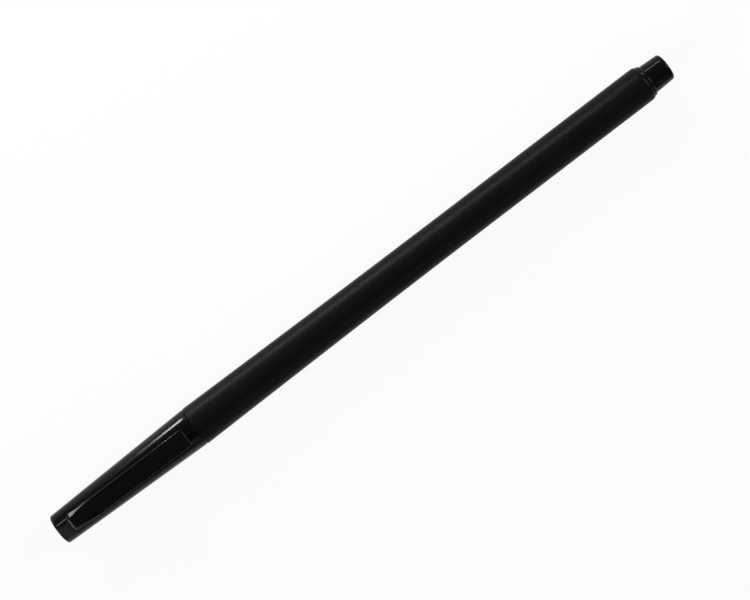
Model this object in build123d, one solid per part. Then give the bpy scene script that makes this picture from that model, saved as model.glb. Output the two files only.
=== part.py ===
from build123d import *
import os

# Fineliner pen lying along X, cap towards -X, tail towards +X, clip up.
# Sizes are in millimetres. Pieces are drawn round the X axis and raised
# at the end, so that the widest part of the barrel touches the ground.

# Lengths that share out the pen's axis
cap_length = 35.6
mouth_gap = 0.15
barrel_length = 118.6
tail_flange_thickness = 0.55
tail_knob_length = 5.1

# Clearances and cutting overrun
press_clearance = 0.02
slide_clearance = 0.05
seal_clearance = 0.03
end_clearance = 0.05
overrun = 1.0

# Curves: the reach of a round corner's handles, and the spans that curves are cut into
corner_handle_share = 0.55
corner_span_count = 2
flare_span_count = 6
ramp_span_count = 4

# Barrel: a cylinder at the rear, flared towards the cap
barrel_rear_d = 8.0
barrel_front_d = 9.0
barrel_bore_d = 6.4
flare_length = 74.0
flare_bend_share = 0.59
front_lip = 0.2
tail_round_length = 0.9
tail_round_drop = 0.34
barrel_rib_count = 6
barrel_rib_width = 0.5
barrel_rib_height = 0.43
barrel_rib_inset = 2.0

# Snap bead that holds the tail plug in the barrel
bead_height = 0.12
bead_width = 0.9
bead_inset = 3.0
ring_top_share = 0.4
spigot_lead_in = 0.25

# Tail plug
tail_flange_inset = 0.03
tail_knob_tip_d = 6.1
tail_knob_foot = 0.3
tail_knob_edge = 0.6
tail_spigot_length = 8.0
tail_wall = 0.9
tail_end_wall = 1.3
tail_slot_count = 4
tail_slot_width = 1.4
tail_slot_depth = 2.5

# Front section: spigot and flange in the barrel, cap seat, grip, sealing land, nose
cap_seat_d = 6.58
seat_relief = 0.09
seat_length = 8.0
seat_ring_width = 0.7
seat_ring_inset = 3.6
section_flange_height = 0.55
section_flange_thickness = 0.7
section_spigot_length = 10.0
section_stop_depth = 1.5
section_grip_tip_d = 4.6
section_hollow_d = 3.2
land_d = 4.0
land_length = 4.2
nose_length = 2.4
nose_tip_d = 2.7
wick_guide_length = 4.0

# Metal sleeve, writing point and feed
sleeve_d = 2.0
sleeve_wall = 0.28
sleeve_hold_length = 5.0
sleeve_proud_length = 0.8
sleeve_cone_length = 0.9
sleeve_tube_d = 1.1
sleeve_tube_length = 1.6
sleeve_edge = 0.1
nib_shank_d = 0.66
nib_tip_d = 0.42
nib_tip_length = 0.75
wick_d = 1.6
wick_in_reservoir = 8.0
film_thickness = 0.12

# Cap shell: a straight cone with a flat crown, a round seat at its mouth and ribs inside
cap_crown_d = 6.9
mouth_inset = 0.03
crown_edge = 0.5
mouth_edge = 0.12
crown_wall = 1.7
cap_wall = 0.72
cap_seat_reserve = 8.0
vent_d = 1.8
vent_room = 1.5
cap_rib_count = 6
cap_rib_width = 0.6
cap_rib_step = 0.9

# Inner cap
inner_cap_wall = 0.4
inner_cap_end_wall = 0.5
inner_cap_lip_height = 0.12
inner_cap_lip_length = 1.6
inner_cap_overlap = 3.8
nib_room = 0.8

# Clip: a tongue along the cap, with a ramp down to its root and a nub under its tip
clip_width = 4.1
clip_thickness = 1.0
clip_root_from_crown = 3.1
clip_ramp_length = 6.85
clip_tip_from_mouth = 2.05
clip_root_height = 0.6
clip_ramp_height = 1.35
clip_tip_height = 1.55
clip_edge_radius = 0.42
clip_root_edge_radius = 1.2
clip_end_radius = 0.4
clip_root_end_radius = 0.5
clip_bridge_length = 5.2
clip_nub_radius = 0.55
clip_nub_from_tip = 1.7
clip_nub_gap = 0.12

# Stations of the cap, the barrel and the tail, with the pen's middle at zero
overall_length = cap_length + mouth_gap + barrel_length + tail_flange_thickness + tail_knob_length
crown_x = -overall_length / 2
mouth_x = crown_x + cap_length
front_x = mouth_x + mouth_gap
rear_x = front_x + barrel_length
knob_x = rear_x + tail_flange_thickness
tail_x = knob_x + tail_knob_length
spigot_x = front_x + section_spigot_length
stop_x = front_x + section_stop_depth
plug_x = rear_x - tail_spigot_length
seat_end_x = front_x - seat_length

# Stations of the nose, set back from the crown so that the point keeps its room in the cap
ceiling_x = crown_x + crown_wall
inner_cap_x = ceiling_x + vent_room
nib_x = inner_cap_x + inner_cap_end_wall + nib_room
sleeve_tip_x = nib_x + nib_tip_length
sleeve_tube_x = sleeve_tip_x + sleeve_tube_length
sleeve_cone_x = sleeve_tube_x + sleeve_cone_length
nose_x = sleeve_cone_x + sleeve_proud_length
land_end_x = nose_x + nose_length
land_x = land_end_x + land_length
sleeve_rear_x = nose_x + sleeve_hold_length
inner_cap_ribs_x = land_x - inner_cap_overlap

# Radii that several pieces share
bore_r = barrel_bore_d / 2
spigot_r = bore_r - press_clearance
rib_r = bore_r - barrel_rib_height
film_r = rib_r - press_clearance
fibre_r = film_r - film_thickness - press_clearance
socket_r = film_r + press_clearance
flange_r = bore_r + section_flange_height
seat_r = cap_seat_d / 2
cap_bore_r = seat_r + slide_clearance
sleeve_bore_r = sleeve_d / 2 - sleeve_wall
wick_r = wick_d / 2
land_r = land_d / 2
lip_r = land_r + seal_clearance
inner_cap_bore_r = lip_r + inner_cap_lip_height
inner_cap_r = inner_cap_bore_r + inner_cap_wall


def turned(*outline):
    """Solid that an outline of (along, radius) curves makes round the pen's axis."""
    return revolve(make_face(outline), Axis.X)


def turned_points(*points):
    """Solid of revolution with straight sides."""
    return turned(Polyline(*points, close=True))


def spans(curve, count):
    """Equal stretches of a curve, each of which makes a light face of its own."""
    return [curve.trim(index / count, (index + 1) / count) for index in range(count)]


def soft_corner(start, corner, end):
    """Round corner of an outline, tangent to the two sides that meet at it."""
    near = Vector(start) + (Vector(corner) - Vector(start)) * corner_handle_share
    far = Vector(end) + (Vector(corner) - Vector(end)) * corner_handle_share
    return spans(Bezier(start, near, far, end), corner_span_count)


def around(count, shape):
    """Copies of a shape spaced evenly round the pen's axis."""
    return [Rot(X=360 * index / count) * shape for index in range(count)]


def bar(start_x, end_x, width, low, high):
    """Straight bar along the pen between two heights over its axis."""
    middle = Pos((start_x + end_x) / 2, 0, (low + high) / 2)
    return middle * Box(end_x - start_x, width, high - low)


def ring(middle_x, width, low, height, spread):
    """Ring with sloping flanks, as a bead or, with some spread, as the groove for one."""
    foot = width / 2 + spread
    top = width * ring_top_share / 2 + spread
    return turned_points(
        (middle_x - foot, low - height),
        (middle_x - foot, low),
        (middle_x - top, low + height + spread),
        (middle_x + top, low + height + spread),
        (middle_x + foot, low),
        (middle_x + foot, low - height),
    )


def cap_surface(along):
    """Radius of the cap's outside at a station."""
    share = (along - crown_x) / cap_length
    mouth_r = barrel_front_d / 2 - mouth_inset
    return cap_crown_d / 2 + share * (mouth_r - cap_crown_d / 2)


def make_barrel():
    front_r = barrel_front_d / 2
    rear_r = barrel_rear_d / 2
    lip_x = front_x + front_lip
    flare_x = front_x + flare_length
    round_x = rear_x - tail_round_length
    bend = (front_x + flare_length * flare_bend_share, rear_r)
    flare = Bezier((lip_x, front_r), bend, (flare_x, rear_r))
    cylinder = Line((flare_x, rear_r), (round_x, rear_r))
    shoulder = TangentArc((round_x, rear_r), (rear_x, rear_r - tail_round_drop), tangent=(1, 0))
    inside = Polyline(
        shoulder @ 1,
        (rear_x, bore_r),
        (front_x + section_flange_thickness, bore_r),
        (front_x + section_flange_thickness, flange_r + press_clearance),
        (front_x, flange_r + press_clearance),
        (front_x, front_r - front_lip),
        (lip_x, front_r),
    )
    tube = turned(*spans(flare, flare_span_count), cylinder, shoulder, inside)
    tube -= ring(plug_x + bead_inset, bead_width, bore_r - press_clearance, bead_height, press_clearance)
    rib = bar(
        spigot_x + barrel_rib_inset,
        plug_x - barrel_rib_inset,
        barrel_rib_width,
        rib_r,
        bore_r + barrel_rib_height,
    )
    return tube + around(barrel_rib_count, rib)


def make_tail_plug():
    flange_edge_r = barrel_rear_d / 2 - tail_round_drop - tail_flange_inset
    foot_r = cap_seat_d / 2
    tip_r = tail_knob_tip_d / 2
    core_r = tip_r - tail_wall
    foot_x = knob_x + tail_knob_foot
    edge_x = tail_x - tail_knob_edge
    edge_r = foot_r + (tip_r - foot_r) * (edge_x - foot_x) / (tail_x - foot_x)
    edge = soft_corner((edge_x, edge_r), (tail_x, tip_r), (tail_x, tip_r - tail_knob_edge))
    outline = Polyline(
        (tail_x, tip_r - tail_knob_edge),
        (tail_x, 0),
        (tail_x - tail_end_wall, 0),
        (tail_x - tail_end_wall, core_r),
        (plug_x, core_r),
        (plug_x, spigot_r - spigot_lead_in),
        (plug_x + spigot_lead_in, spigot_r),
        (rear_x, spigot_r),
        (rear_x, flange_edge_r),
        (knob_x, flange_edge_r),
        (knob_x, foot_r + tail_knob_foot),
        (foot_x, foot_r),
        (edge_x, edge_r),
    )
    plug = turned(outline, *edge)
    plug += ring(plug_x + bead_inset, bead_width, spigot_r, bead_height, 0)
    slot = bar(plug_x - overrun, plug_x + tail_slot_depth, tail_slot_width, 0, spigot_r + overrun)
    return plug - around(tail_slot_count, slot)


def make_front_section():
    relief_r = seat_r - seat_relief
    guide_r = wick_r + slide_clearance
    hollow_r = section_hollow_d / 2
    hollow_x = sleeve_rear_x + wick_guide_length
    sleeve_hole_r = sleeve_d / 2 + press_clearance
    section = turned_points(
        (land_x, section_grip_tip_d / 2),
        (land_x, land_r),
        (land_end_x, land_r),
        (nose_x, nose_tip_d / 2),
        (nose_x, sleeve_hole_r),
        (sleeve_rear_x, sleeve_hole_r),
        (sleeve_rear_x, guide_r),
        (hollow_x, guide_r),
        (hollow_x, hollow_r),
        (stop_x, hollow_r),
        (stop_x, socket_r),
        (spigot_x, socket_r),
        (spigot_x, spigot_r - spigot_lead_in),
        (spigot_x - spigot_lead_in, spigot_r),
        (front_x + section_flange_thickness, spigot_r),
        (front_x + section_flange_thickness, flange_r),
        (front_x, flange_r),
        (front_x, relief_r),
        (seat_end_x, relief_r),
    )
    return section + ring(front_x - seat_ring_inset, seat_ring_width, relief_r, seat_relief, 0)


def make_tip_sleeve():
    tube_r = sleeve_tube_d / 2
    tube_bore_r = nib_shank_d / 2 + press_clearance
    return turned_points(
        (sleeve_rear_x - end_clearance, sleeve_bore_r),
        (sleeve_rear_x - end_clearance, sleeve_d / 2),
        (sleeve_cone_x, sleeve_d / 2),
        (sleeve_tube_x, tube_r),
        (sleeve_tip_x + sleeve_edge, tube_r),
        (sleeve_tip_x, tube_r - sleeve_edge),
        (sleeve_tip_x, tube_bore_r),
        (sleeve_cone_x, tube_bore_r),
        (sleeve_cone_x, sleeve_bore_r),
    )


def make_nib():
    shank_r = nib_shank_d / 2
    body_r = sleeve_bore_r - press_clearance
    return turned_points(
        (nib_x, 0),
        (nib_x, nib_tip_d / 2),
        (sleeve_tip_x, shank_r),
        (sleeve_cone_x + end_clearance, shank_r),
        (sleeve_cone_x + end_clearance, body_r),
        (sleeve_rear_x - end_clearance, body_r),
        (sleeve_rear_x - end_clearance, 0),
    )


def make_feed_wick():
    wick_end_x = stop_x + wick_in_reservoir
    return turned_points(
        (sleeve_rear_x, 0),
        (sleeve_rear_x, wick_r),
        (wick_end_x, wick_r),
        (wick_end_x, 0),
    )


def make_reservoir_fibre():
    hole_r = wick_r + press_clearance
    return turned_points(
        (stop_x + end_clearance, hole_r),
        (stop_x + end_clearance, fibre_r),
        (plug_x - end_clearance, fibre_r),
        (plug_x - end_clearance, 0),
        (stop_x + end_clearance + wick_in_reservoir, 0),
        (stop_x + end_clearance + wick_in_reservoir, hole_r),
    )


def make_reservoir_film():
    return turned_points(
        (stop_x + end_clearance, film_r - film_thickness),
        (stop_x + end_clearance, film_r),
        (plug_x - end_clearance, film_r),
        (plug_x - end_clearance, film_r - film_thickness),
    )


def clip_section(along, top, depth, edge_radius, facing):
    """Cross-section of the clip, flat below and rounded along both upper edges."""
    half = clip_width / 2
    outline = FilletPolyline(
        (-half, -depth),
        (-half, 0),
        (half, 0),
        (half, -depth),
        radius=[0, edge_radius, edge_radius, 0],
        close=True,
    )
    return Plane(origin=(along, 0, top), x_dir=(0, 1, 0), z_dir=facing) * make_face(outline)


def make_clip():
    """Clip with its bridge, down to a foot inside the cap's wall."""
    root_x = crown_x + clip_root_from_crown
    ramp_x = root_x + clip_ramp_length
    tip_x = mouth_x - clip_tip_from_mouth
    bridge_x = root_x + clip_bridge_length
    root_top = cap_surface(root_x) + clip_root_height
    ramp_top = cap_surface(ramp_x) + clip_ramp_height
    tip_top = cap_surface(tip_x) + clip_tip_height
    foot = cap_crown_d / 2 - cap_wall
    sections = []
    for index in range(ramp_span_count):
        share = index / ramp_span_count
        along = root_x + share * clip_ramp_length
        top = root_top + share * (ramp_top - root_top)
        edge_radius = clip_root_edge_radius + share * (clip_edge_radius - clip_root_edge_radius)
        sections.append(clip_section(along, top, top - foot, edge_radius, Axis.X.direction))
    run = Vector(tip_x - ramp_x, 0, tip_top - ramp_top)
    sections.append(clip_section(ramp_x, ramp_top, ramp_top - foot, clip_edge_radius, run))
    clip = loft(sections, ruled=True) + extrude(sections[-1], run.length)
    clip = fillet(clip.faces().sort_by(Axis.X)[-1].edges().sort_by(Axis.Z)[1:], clip_end_radius)
    clip = fillet(clip.faces().sort_by(Axis.X)[0].edges().sort_by(Axis.Z)[1:], clip_root_end_radius)
    slope = run.Z / run.X
    past_x = tip_x + overrun
    gap = Polyline(
        (bridge_x, ramp_top - clip_thickness + slope * (bridge_x - ramp_x)),
        (past_x, tip_top - clip_thickness + slope * overrun),
        (past_x, foot - overrun),
        (bridge_x, foot - overrun),
        close=True,
    )
    clip -= extrude(Plane.XZ * make_face(gap), clip_width, both=True)
    nub_x = tip_x - clip_nub_from_tip
    nub_z = cap_surface(nub_x) + clip_nub_gap + clip_nub_radius
    nub = Pos(nub_x, 0, nub_z) * Rot(X=90) * Cylinder(clip_nub_radius, clip_width - 2 * clip_end_radius)
    return clip + nub


def make_cap_shell():
    mouth_r = cap_surface(mouth_x)
    crown_r = cap_crown_d / 2
    side_x = crown_x + crown_edge
    side_end_x = mouth_x - mouth_edge
    edge = soft_corner((crown_x, crown_r - crown_edge), (crown_x, crown_r), (side_x, cap_surface(side_x)))
    side = Polyline(
        (side_x, cap_surface(side_x)),
        (side_end_x, cap_surface(side_end_x)),
        (mouth_x, mouth_r - mouth_edge),
        (mouth_x, 0),
        (crown_x, 0),
        (crown_x, crown_r - crown_edge),
    )
    outside = turned(*edge, side)
    seat_x = seat_end_x - cap_seat_reserve
    hollow_r = cap_surface(ceiling_x) - cap_wall
    hollow = turned_points(
        (ceiling_x, 0),
        (ceiling_x, hollow_r),
        (seat_x, hollow_r),
        (seat_x, cap_bore_r),
        (mouth_x + overrun, cap_bore_r),
        (mouth_x + overrun, 0),
    )
    vent = turned_points(
        (crown_x - overrun, 0),
        (crown_x - overrun, vent_d / 2),
        (ceiling_x + overrun, vent_d / 2),
        (ceiling_x + overrun, 0),
    )
    rib_low = inner_cap_r + press_clearance
    rib = bar(ceiling_x, inner_cap_ribs_x, cap_rib_width, rib_low, crown_r)
    rib += bar(ceiling_x, inner_cap_x - end_clearance, cap_rib_width, rib_low - cap_rib_step, crown_r)
    ribs = [copy & outside for copy in around(cap_rib_count, rib)]
    return outside - hollow + make_clip() - hollow + ribs - vent


def make_inner_cap():
    open_x = land_x - end_clearance
    lip_x = open_x - inner_cap_lip_length
    return turned_points(
        (inner_cap_x, 0),
        (inner_cap_x, inner_cap_r),
        (open_x, inner_cap_r),
        (open_x, inner_cap_bore_r),
        (lip_x + inner_cap_lip_length / 2, lip_r),
        (lip_x, inner_cap_bore_r),
        (inner_cap_x + inner_cap_end_wall, inner_cap_bore_r),
        (inner_cap_x + inner_cap_end_wall, 0),
    )


pieces = {
    "barrel": make_barrel(),
    "tail_plug": make_tail_plug(),
    "front_section": make_front_section(),
    "tip_sleeve": make_tip_sleeve(),
    "nib": make_nib(),
    "feed_wick": make_feed_wick(),
    "reservoir_fibre": make_reservoir_fibre(),
    "reservoir_film": make_reservoir_film(),
    "cap_shell": make_cap_shell(),
    "inner_cap": make_inner_cap(),
}

axis_height = barrel_front_d / 2
os.makedirs("parts", exist_ok=True)
for name, piece in pieces.items():
    export_step(Pos(0, 0, axis_height) * piece, f"parts/{name}.step")
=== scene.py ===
import math

import bmesh
import bpy
from bpy.props import FloatProperty, FloatVectorProperty, PointerProperty
from mathutils import Matrix, Vector


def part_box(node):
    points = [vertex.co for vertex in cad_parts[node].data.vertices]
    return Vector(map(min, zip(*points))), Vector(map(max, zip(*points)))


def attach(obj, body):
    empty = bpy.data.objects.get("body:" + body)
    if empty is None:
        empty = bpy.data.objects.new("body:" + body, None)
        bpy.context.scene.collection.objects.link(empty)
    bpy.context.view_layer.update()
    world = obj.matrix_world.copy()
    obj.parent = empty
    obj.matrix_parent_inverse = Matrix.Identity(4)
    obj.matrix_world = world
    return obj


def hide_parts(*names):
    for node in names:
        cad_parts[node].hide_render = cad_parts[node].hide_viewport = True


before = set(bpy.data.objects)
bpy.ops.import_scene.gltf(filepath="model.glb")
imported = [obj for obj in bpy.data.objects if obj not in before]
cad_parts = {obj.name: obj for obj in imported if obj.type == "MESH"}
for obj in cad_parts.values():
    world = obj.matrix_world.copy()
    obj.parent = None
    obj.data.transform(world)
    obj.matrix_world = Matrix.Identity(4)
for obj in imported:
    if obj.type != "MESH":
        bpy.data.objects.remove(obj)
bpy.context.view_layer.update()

bl_info = {
    "name": "Fineliner pen",
    "version": (1, 0, 0),
    "blender": (4, 5, 0),
    "location": "View3D > Sidebar > Pen",
    "description": "Dresses the frame of a capped fineliner with its mouldings, finishes and a photo stage",
    "category": "Object",
}

MILLIMETRES_IN_METRE = 1000.0


def ends(node):
    """Stations along the pen where a node of the frame starts and ends, to a hundredth of a millimetre."""
    low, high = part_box(node)
    return round(low.x, 5), round(high.x, 5)


def outer_radius(node):
    """Radius of a node of the frame about the pen's axis, to a hundredth of a millimetre."""
    return round(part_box(node)[1].y, 5)


# Stations along the pen and radii about its axis, read from the frame. All sizes are in metres
CROWN_X, MOUTH_X = ends("cap_shell")
FRONT_X, REAR_X = ends("barrel")
PLUG_X, TAIL_X = ends("tail_plug")
NOSE_X, SPIGOT_X = ends("front_section")
SLEEVE_X, SLEEVE_REAR_X = ends("tip_sleeve")
INNER_CAP_X, INNER_CAP_OPEN_X = ends("inner_cap")
NIB_X = ends("nib")[0]
BARREL_R = outer_radius("barrel")
SLEEVE_R = outer_radius("tip_sleeve")
WICK_R = outer_radius("feed_wick")
INNER_CAP_R = outer_radius("inner_cap")
AXIS_Z = round(sum(corner.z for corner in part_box("barrel")) / 2, 5)

# Clearances between the pieces
PRESS = 0.00002
SLIDE = 0.00005
SEAL = 0.00003
END_GAP = 0.00005

# Barrel: its rounded rear end, and the ribs that hold the ink store
REAR_ROUND = 0.0009
REAR_DROP = 0.00034
REAR_CORNER_BACK = 0.0001
REAR_CORNER_DROP = 0.00005
RIB_HEIGHT = 0.00043
RIB_INSET = 0.002

# Snap bead of the tail plug, which has a groove in the barrel, and the lead-in of a spigot
BEAD_INSET = 0.003
BEAD_FOOT = 0.00045
BEAD_TOP = 0.00018
BEAD_HEIGHT = 0.00012
LEAD_IN = 0.00025

# Seat that the cap is pushed onto: on the nose, and as the foot of the tail's knob
SEAT_R = 0.00329
SEAT_RELIEF = 0.00009
SEAT_LENGTH = 0.008
SEAT_RESERVE = 0.008
SEAT_RING_INSET = 0.0036
SEAT_RING_FOOT = 0.00035
SEAT_RING_FLANK = 0.0002
SEAT_RING_FLANK_HEIGHT = 0.00006
SEAT_RING_TOP = 0.00007

# Cap: its walls, vent and inner ribs
MOUTH_INSET = 0.00003
CROWN_WALL = 0.0017
CAP_WALL = 0.00072
VENT_R = 0.0009
VENT_EDGE = 0.00012
BORE_EDGE = 0.0001
CUP_OVERLAP = 0.0038
CAP_RIB_STEP = 0.0009

# Clip: how its ends drop, the steps of its outline, and the nub under its tip
CLIP_ROOT_DROP = 0.0003
CLIP_TIP_DROP = 0.0002
BRIDGE_STEP = 0.00002
RAMP_BLEND = 0.0003
RAMP_SHARES = (0.3, 0.45, 0.6)
TONGUE_SHARES = (0.25, 0.5, 0.75)
NUB_R = 0.00055
NUB_FROM_TIP = 0.0017
NUB_GAP = 0.00012
NUB_EDGE = 0.00015
NUB_INSET = 0.0004

# Tail plug
TAIL_FLANGE = 0.00055
TAIL_FLANGE_INSET = 0.00003
TAIL_RIM_EDGE = 0.00008
TAIL_BRIM_EDGE = 0.0001
KNOB_TIP_R = 0.00305
KNOB_FOOT = 0.0003
KNOB_WALL = 0.0009
KNOB_END_WALL = 0.0013
SLOT_WIDTH = 0.0014
SLOT_DEPTH = 0.0025

# Front section: flange in the barrel, grip, sealing land and nose
FLANGE_HEIGHT = 0.00055
FLANGE_THICKNESS = 0.0007
STOP_DEPTH = 0.0015
HOLLOW_R = 0.0016
WICK_GUIDE = 0.004
GRIP_TIP_R = 0.0023
GRIP_EDGE = 0.0003
GRIP_EDGE_RISE = 0.00002
GRIP_STEP_FOOT = 0.0001
LAND_X = INNER_CAP_OPEN_X + END_GAP
LAND_R = 0.002
NOSE_LENGTH = 0.0024
NOSE_TIP_R = 0.00135
NOSE_EDGE = 0.0002
NOSE_EDGE_RISE = 0.00005

# Metal sleeve and writing point
TUBE_R = 0.00055
TUBE_LENGTH = 0.0016
CONE_LENGTH = 0.0009
TUBE_X = SLEEVE_X + TUBE_LENGTH
CONE_X = TUBE_X + CONE_LENGTH
SLEEVE_WALL = 0.00028
SLEEVE_BORE_R = SLEEVE_R - SLEEVE_WALL
SLEEVE_EDGE = 0.0001
CONE_BEND = 0.0002
CONE_BEND_RISE = 0.0001
SHANK_R = 0.00033
POINT_TIP_R = 0.00021
POINT_FLAT_R = 0.00006
POINT_EDGE = 0.0002
POINT_EDGE_RISE = 0.00003

# Inner cap
LIP_HEIGHT = 0.00012
LIP_LENGTH = 0.0016
CUP_END_WALL = 0.0005
CUP_EDGE = 0.0002
CUP_LIP_EDGE = 0.0001

# Wear: how far rubbing reaches from an edge, and the height over the cap's side where the clip's edges start
BARREL_RUB = 0.0004
CAP_RUB = 0.00045
CLIP_RUB = 0.0005
CLIP_RUB_HEIGHT = 0.0003
PLUG_RUB = 0.0005
NOSE_RUB = 0.0004

# Wear and painted sheen: where the crown's scuffs with their painted sheen and the ink's stain on the point
# begin, and where they are full
SCUFF_SHEEN_REACH = 0.0042
SCUFF_SHEEN_FULL = 0.0024
SCUFF_SHEEN_SIDE_REACH = 0.0012
SCUFF_SHEEN_SIDE_FULL = -0.0002
SCUFF_SHEEN_FULL_HEIGHT = 0.0018
SCUFF_AND_SHEEN_LIMITS = {
    "X": (CROWN_X + SCUFF_SHEEN_REACH, CROWN_X + SCUFF_SHEEN_FULL),
    "Y": (SCUFF_SHEEN_SIDE_REACH, SCUFF_SHEEN_SIDE_FULL),
    "Z": (AXIS_Z, AXIS_Z + SCUFF_SHEEN_FULL_HEIGHT),
}
STAIN_REACH = 0.0009
STAIN_FULL = 0.0002
STAIN_LIMITS = (NIB_X + STAIN_REACH, NIB_X + STAIN_FULL)

# Fineness and roundness of the meshes, and what counts as the same place or as a side wall
SIDES = 168
NOSE_SIDES = 120
SLEEVE_SIDES = 96
POINT_SIDES = 64
NUB_SIDES = 48
RIBS = 6
BARREL_RIB_SIDES = 4
CAP_RIB_SIDES = 6
SMOOTH_ANGLE = math.radians(32)
SAME_PLACE = 1e-7
MERGE_DISTANCE = 1e-6
ON_WALL = 2e-6
WALL_LEAN = 0.1
ROUND_PROFILE = 0.5

# Stage: the floor's size, the nearest that the camera sees, and each softbox by its two ends and its width
FLOOR_SIZE = 6
NEAREST_SEEN = 0.01
SOFTBOXES = {
    "barrel": ((-0.038, 0.23, 0.014), (0.12, 0.23, 0.158), 0.035),
    "mouth": ((-0.08, 0.2, 0.018), (-0.071, 0.2, 0.018), 0.034),
    "cap": ((-0.08, 0.2, 0.02), (-0.106, 0.2, 0.064), 0.014),
    "crown": ((-0.16, 0.17, 0.19), (-0.13, 0.17, 0.21), 0.03),
    "tail": ((0.136, 0.23, 0.055), (0.136, 0.23, 0.085), 0.03),
    "root": ((-0.174, 0.2, 0.004), (-0.174, 0.2, 0.036), 0.036),
    "fill": ((-0.25, -0.6, 0.35), (0.25, -0.6, 0.35), 0.4),
}
END_SOFTBOXES = {
    "cap end": ((-0.9, -0.3, 0.5), (-0.9, 0.3, 0.5), 0.5),
    "tail end": ((0.9, -0.3, 0.5), (0.9, 0.3, 0.5), 0.5),
}


class PenShape(bpy.types.PropertyGroup):
    """Sizes of the pen's visible forms."""

    flare_length: FloatProperty(
        name="Flare length", description="Length over which the barrel widens towards the cap",
        default=0.074, min=0.01, max=0.1, unit="LENGTH")
    flare_bend_share: FloatProperty(
        name="Flare bend", description="Place of the flare's bend as a share of its length",
        default=0.59, min=0.1, max=0.9, subtype="FACTOR")
    barrel_rear: FloatProperty(
        name="Barrel diameter", description="Diameter of the barrel's plain rear part",
        default=0.008, min=0.007, max=0.009, unit="LENGTH")
    barrel_bore: FloatProperty(
        name="Barrel bore", description="Inside diameter of the barrel",
        default=0.0064, min=0.005, max=0.007, unit="LENGTH")
    front_lip: FloatProperty(
        name="Front lip", description="Size of the round edge at the barrel's front",
        default=0.0002, min=0.00005, max=0.0005, unit="LENGTH")
    crown_diameter: FloatProperty(
        name="Crown diameter", description="Diameter of the cap at its closed end",
        default=0.0069, min=0.006, max=0.008, unit="LENGTH")
    crown_edge: FloatProperty(
        name="Crown edge", description="Size of the round edge of the cap's crown",
        default=0.0005, min=0.0001, max=0.001, unit="LENGTH")
    mouth_edge: FloatProperty(
        name="Mouth edge", description="Size of the round edge of the cap's mouth",
        default=0.00012, min=0.00005, max=0.0004, unit="LENGTH")
    clip_width: FloatProperty(
        name="Clip width", description="Width of the clip's tongue",
        default=0.0041, min=0.003, max=0.005, unit="LENGTH")
    clip_thickness: FloatProperty(
        name="Clip thickness", description="Thickness of the clip's tongue",
        default=0.001, min=0.0006, max=0.0014, unit="LENGTH")
    clip_root: FloatProperty(
        name="Clip root", description="Distance of the clip's root from the crown",
        default=0.0031, min=0.001, max=0.006, unit="LENGTH")
    clip_ramp: FloatProperty(
        name="Clip ramp", description="Length of the steeper ramp at the clip's root",
        default=0.00685, min=0.006, max=0.01, unit="LENGTH")
    clip_bridge: FloatProperty(
        name="Clip bridge", description="Length over which the clip is joined to the cap",
        default=0.0052, min=0.003, max=0.0058, unit="LENGTH")
    clip_tip: FloatProperty(
        name="Clip tip", description="Distance of the clip's tip from the cap's mouth",
        default=0.00205, min=0.001, max=0.005, unit="LENGTH")
    clip_root_height: FloatProperty(
        name="Clip root height", description="Height of the clip over the cap's side at its root",
        default=0.0006, min=0.0003, max=0.001, unit="LENGTH")
    clip_ramp_height: FloatProperty(
        name="Clip ramp height", description="Height of the clip over the cap's side where the ramp ends",
        default=0.00135, min=0.001, max=0.0018, unit="LENGTH")
    clip_tip_height: FloatProperty(
        name="Clip tip height", description="Height of the clip over the cap's side at its tip",
        default=0.00155, min=0.0012, max=0.002, unit="LENGTH")
    clip_edge: FloatProperty(
        name="Clip edge", description="Radius of the tongue's upper edges where the ramp ends",
        default=0.00028, min=0.0001, max=0.0006, unit="LENGTH")
    clip_tip_edge: FloatProperty(
        name="Clip tip edge", description="Radius of the tongue's upper edges at its tip",
        default=0.00012, min=0.00005, max=0.0006, unit="LENGTH")
    clip_root_edge: FloatProperty(
        name="Clip root edge", description="Radius of the upper edges where the clip starts",
        default=0.0008, min=0.0003, max=0.0012, unit="LENGTH")
    clip_root_profile: FloatProperty(
        name="Clip root facet",
        description="Roundness of the edges at the clip's root: 0.25 is a flat facet, 0.5 is round",
        default=0.25, min=0.25, max=0.5, subtype="FACTOR")
    clip_root_round: FloatProperty(
        name="Clip root rounding", description="Length over which the clip's root narrows to its end",
        default=0.0012, min=0.0004, max=0.0018, unit="LENGTH")
    clip_tip_round: FloatProperty(
        name="Clip tip rounding", description="Radius of the corners of the clip's tip, seen from above",
        default=0.0006, min=0.0002, max=0.001, unit="LENGTH")
    knob_edge: FloatProperty(
        name="Knob edge", description="Size of the round edge of the tail knob",
        default=0.0006, min=0.0001, max=0.001, unit="LENGTH")


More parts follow.
